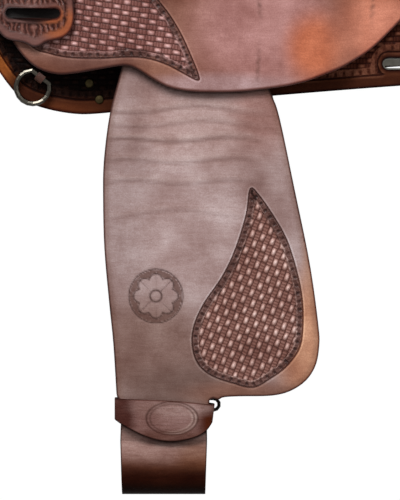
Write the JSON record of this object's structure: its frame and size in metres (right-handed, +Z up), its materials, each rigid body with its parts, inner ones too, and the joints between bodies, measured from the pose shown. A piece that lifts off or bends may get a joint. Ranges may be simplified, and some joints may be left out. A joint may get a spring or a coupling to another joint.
{
  "type": "western trail saddle",
  "caption": "Western trail saddle with hanging fenders, tooled jockeys, in-skirt rigging, fleece lining and a horn.",
  "frame": {"origin": "the middle of the horse's back under the seat, where the ridge of the lining would be (a virtual point in the open channel)", "axes": "+Z up, the horse faces -X, the near (left) side is -Y"},
  "size_m": [0.702, 0.514, 0.815],
  "materials": {
    "black_steel": "satin",
    "brass": "satin",
    "dark_leather": "satin oiled",
    "leather": "satin oiled",
    "stainless_steel": "satin",
    "suede": "matte napped",
    "tree_wood": "matte",
    "wool_fleece": "matte"
  },
  "bodies": {
    "saddle": {"cantle_back": "leather", "cantle_binding": "dark_leather", "cantle_board": "tree_wood", "concho_left_1": "stainless_steel", "concho_left_2": "stainless_steel", "concho_right_1": "stainless_steel", "concho_right_2": "stainless_steel", "dee_chape_left": "dark_leather", "dee_chape_right": "dark_leather", "fleece_left": "wool_fleece", "fleece_right": "wool_fleece", "fork": "tree_wood", "fork_cover": "leather", "front_rigging_plate_left": "stainless_steel", "front_rigging_plate_right": "stainless_steel", "ground_seat": "dark_leather", "gullet_lining": "dark_leather", "horn": "stainless_steel", "horn_cap_cover": "leather", "horn_wrap": "dark_leather", "keeper_screw_left": "stainless_steel", "keeper_screw_right": "stainless_steel", "latigo_keeper_left": "leather", "latigo_keeper_right": "leather", "rear_jockey_left": "leather", "rear_jockey_right": "leather", "rear_lacing": "dark_leather", "rear_rigging_plate_left": "stainless_steel", "rear_rigging_plate_right": "stainless_steel", "seat": "leather", "seat_jockey_left": "leather", "seat_jockey_right": "leather", "seat_pad": "suede", "skirt_left": "leather", "skirt_right": "leather", "skirt_rivet_left_1": "brass", "skirt_rivet_left_2": "brass", "skirt_rivet_right_1": "brass", "skirt_rivet_right_2": "brass", "strap_hanger_left": "leather", "strap_hanger_right": "leather", "tree_bar_left": "tree_wood", "tree_bar_right": "tree_wood"},
    "fender_left": {"fender_left": "leather", "stirrup_leather_left": "leather", "leather_buckle_left": "stainless_steel", "hobble_strap_left": "dark_leather", "hobble_buckle_left": "black_steel"},
    "buckle_sleeve_left": {"buckle_sleeve_left": "stainless_steel"},
    "breast_dee_left": {"breast_dee_left": "stainless_steel"},
    "fender_right": {"fender_right": "leather", "stirrup_leather_right": "leather", "leather_buckle_right": "stainless_steel", "hobble_strap_right": "dark_leather", "hobble_buckle_right": "black_steel"},
    "buckle_sleeve_right": {"buckle_sleeve_right": "stainless_steel"},
    "breast_dee_right": {"breast_dee_right": "stainless_steel"}
  },
  "joints": [
    {"name": "fender_swing_left", "type": "hinge", "parent": "saddle", "child": "fender_left", "pos_m": [-0.1298, -0.2407, -0.15], "axis": [0, 1, 0], "range_deg": [-25, 20]},
    {"name": "buckle_sleeve_slide_left", "type": "slide", "parent": "fender_left", "child": "buckle_sleeve_left", "axis": [0, 0, 1], "range_m": [0, 0.036]},
    {"name": "breast_dee_swing_left", "type": "hinge", "parent": "saddle", "child": "breast_dee_left", "pos_m": [-0.26015, -0.23282, -0.19538], "axis": [-0.7906, 0.0336, 0.6114], "range_deg": [0, 100]},
    {"name": "fender_swing_right", "type": "hinge", "parent": "saddle", "child": "fender_right", "pos_m": [-0.1298, 0.2407, -0.15], "axis": [0, 1, 0], "range_deg": [-25, 20]},
    {"name": "buckle_sleeve_slide_right", "type": "slide", "parent": "fender_right", "child": "buckle_sleeve_right", "axis": [0, 0, 1], "range_m": [0, 0.036]},
    {"name": "breast_dee_swing_right", "type": "hinge", "parent": "saddle", "child": "breast_dee_right", "pos_m": [-0.26015, 0.23282, -0.19538], "axis": [0.7906, 0.0336, -0.6114], "range_deg": [0, 100]}
  ]
}
